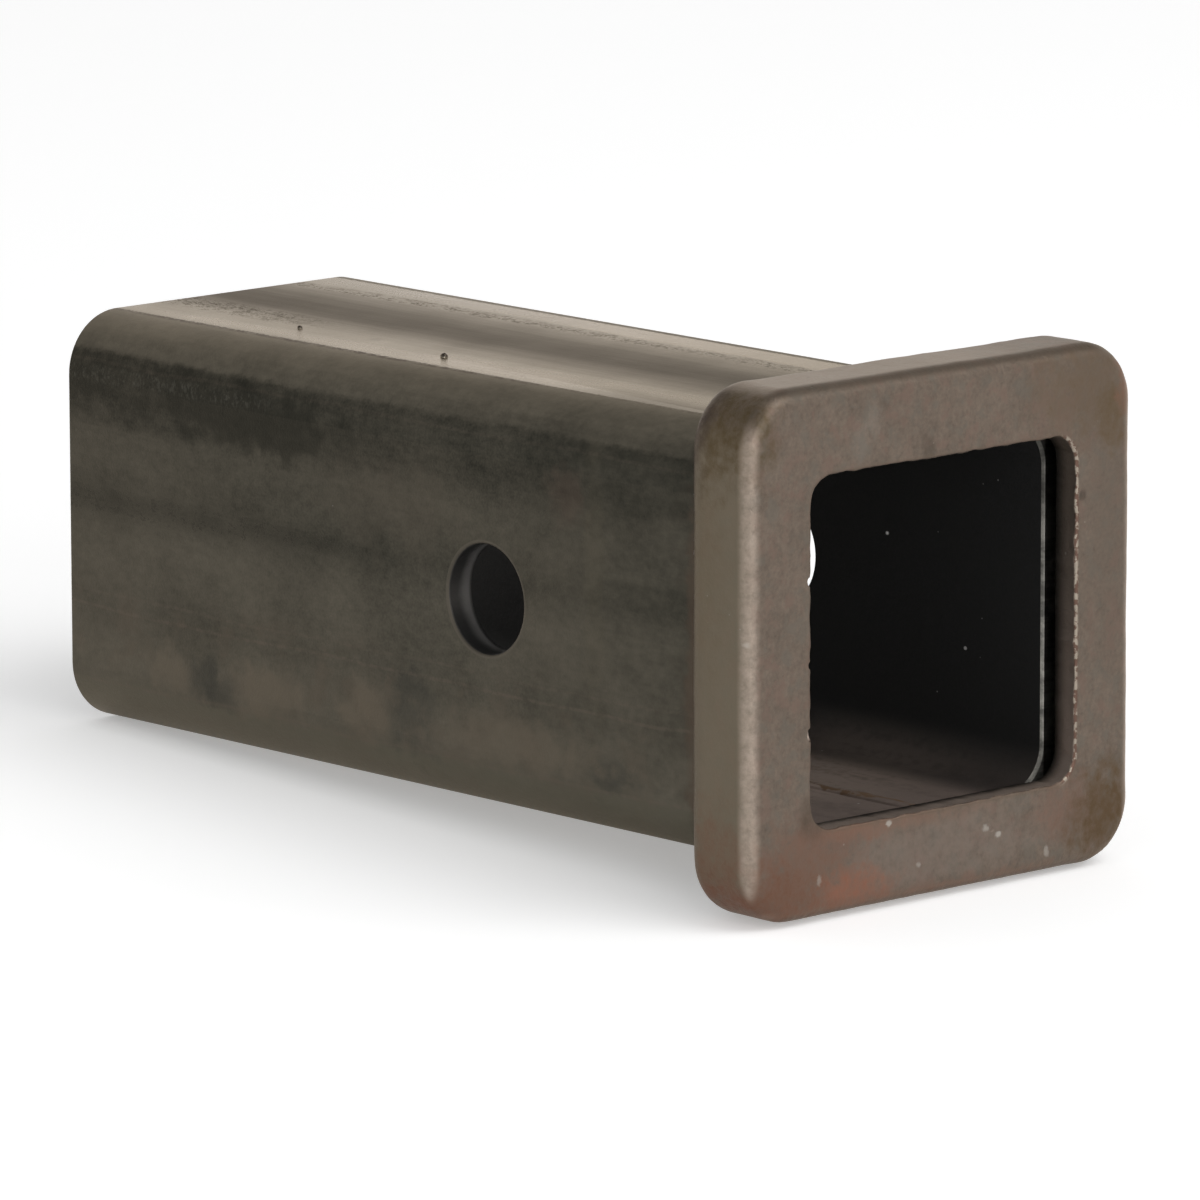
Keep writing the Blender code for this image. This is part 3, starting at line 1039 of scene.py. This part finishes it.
    # Gloss and relief
    rough = plus(tree, 0.46, times(tree, grain, 0.25), times(tree, mottle, 0.2))
    rough = between(tree, calc(tree, "MAXIMUM", painted_edge_highlight, both(tree, rim, right)), rough, 0.42)
    rough = between(tree, painted_top_light, rough, 0.40)
    rough = plus(tree, rough, times(tree, grain, 0.15))
    feed(tree, shader.inputs["Roughness"], rough)
    shader.inputs["Metallic"].default_value = 0.7
    shader.inputs["Specular Tint"].default_value = warm_sheen
    surface = plus(tree, height, times(tree, mottle, 0.8), times(tree, pits, -1.0))
    raise_surface(tree, shader, surface, 0.6, 0.00016)
    return material


def weld_metal():
    """The bead: grey weld metal with a brown tint in places."""
    material, tree, shader = new_material("weld_metal")
    place = millimetres(tree)[0]
    blotches, grain, height = grain_of(tree, place, 0.30, 2.5)
    tone = plus(tree, 0.5, times(tree, blotches, 1.5))
    colour = blend(tree, tone, (0.070, 0.063, 0.056), (0.185, 0.168, 0.149))
    tint = step_up(tree, clouds(tree, place, 0.12, 3, 0.5), 0.0, 0.15)
    colour = blend(tree, times(tree, tint, 0.5), colour, (0.115, 0.080, 0.052))
    feed(tree, shader.inputs["Base Color"], colour)
    rough = plus(tree, 0.38, times(tree, blotches, 0.4), times(tree, grain, 0.2))
    feed(tree, shader.inputs["Roughness"], rough)
    shader.inputs["Metallic"].default_value = 0.85
    raise_surface(tree, shader, height, 0.4, 0.0001)
    return material


# Stage

def seen_by_eye_or_gloss(tree):
    path = put(tree, "ShaderNodeLightPath").outputs
    seen = calc(tree, "MAXIMUM", path["Is Camera Ray"], path["Is Glossy Ray"])
    return calc(tree, "MAXIMUM", seen, path["Is Transmission Ray"])


def lay_floor():
    """A pale floor under the part, which lies on the collar's bottom edge and the tube's far bottom edge."""
    front = Vector((back_x + back_round, 0, collar_low.z))
    behind = Vector((far_x, 0, tube_low.z))
    tilt = (behind.z - front.z) / (front.x - behind.x)
    bpy.ops.mesh.primitive_plane_add(size=16)
    floor = bpy.context.active_object
    floor.name = "floor"
    for corner in floor.data.vertices:
        corner.co.z = front.z - floor_gap - tilt * (corner.co.x - front.x)
    material, tree, shader = new_material("pale_floor")
    shader.inputs["Base Color"].default_value = (0.9, 0.9, 0.9, 1)
    shader.inputs["Roughness"].default_value = 0.9
    shader.inputs["Specular IOR Level"].default_value = 0.0
    shader.inputs["Emission Color"].default_value = (1, 1, 1, 1)
    feed(tree, shader.inputs["Emission Strength"], times(tree, seen_by_eye_or_gloss(tree), 0.32))
    floor.data.materials.append(material)


def light_world():
    """White to the camera. In reflections it dims overhead, and it lights the part more softly."""
    world = bpy.data.worlds.new("studio")
    bpy.context.scene.world = world
    world.use_nodes = True
    tree = world.node_tree
    background = tree.nodes["Background"]
    heading = put(tree, "ShaderNodeSeparateXYZ")
    tree.links.new(put(tree, "ShaderNodeTexCoord").outputs["Generated"], heading.inputs[0])
    path = put(tree, "ShaderNodeLightPath").outputs
    reflected = between(tree, step_up(tree, heading.outputs["Z"], 0.25, 0.75), 1.0, 0.45)
    strength = between(tree, path["Is Glossy Ray"], 0.50, reflected)
    behind_glass = calc(tree, "MAXIMUM", path["Is Camera Ray"], path["Is Transmission Ray"])
    background.inputs["Color"].default_value = (1, 1, 1, 1)
    feed(tree, background.inputs["Strength"], between(tree, behind_glass, strength, 1.0))


def add_lamp(name, azimuth, elevation, distance, width, height, watts):
    """A soft area lamp that faces the part. Azimuth turns from -Y towards +X, as the camera's does."""
    turn = Euler((pi / 2 - radians(elevation), 0, radians(azimuth)))
    place = turn.to_matrix() @ Vector((0, 0, distance))
    bpy.ops.object.light_add(type="AREA", location=place, rotation=turn)
    lamp = bpy.context.active_object
    lamp.name = name
    lamp.data.shape = "RECTANGLE"
    lamp.data.size = width
    lamp.data.size_y = height
    lamp.data.energy = watts


def set_camera():
    """The camera's place, turn and lens, fitted to the edges of the part in the photograph."""
    target = Vector((0.0036, 0.0022, -0.0062))
    azimuth, elevation, roll, distance = radians(47.65), radians(10.74), radians(-0.12), 1.5202
    turn = Euler((pi / 2 - elevation, 0, azimuth)).to_matrix().to_4x4()
    bpy.ops.object.camera_add()
    camera = bpy.context.active_object
    camera.matrix_world = (
        Matrix.Translation(target + turn.to_3x3() @ Vector((0, 0, distance)))
        @ turn
        @ Matrix.Rotation(roll, 4, "Z")
    )
    camera.data.sensor_width = 36
    camera.data.lens = 304.13
    camera.data.clip_start = 0.1
    bpy.context.scene.camera = camera


def finish_piece(piece, material, node):
    piece.data.materials.clear()
    piece.data.materials.append(material)
    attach(piece, "root")
    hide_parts(node)


set_camera()
finish_piece(build_tube(), mill_scale(), "receiver_tube")
finish_piece(build_collar(), forged_scale(), "collar")
finish_piece(build_bead(), weld_metal(), "collar_weld")
lay_floor()
light_world()
add_lamp("key", azimuth=70, elevation=17, distance=2.3, width=1.5, height=1.2, watts=14)
add_lamp("front", azimuth=112, elevation=50, distance=2.2, width=1.4, height=1.4, watts=18)

bpy.context.scene.view_settings.view_transform = "Standard"
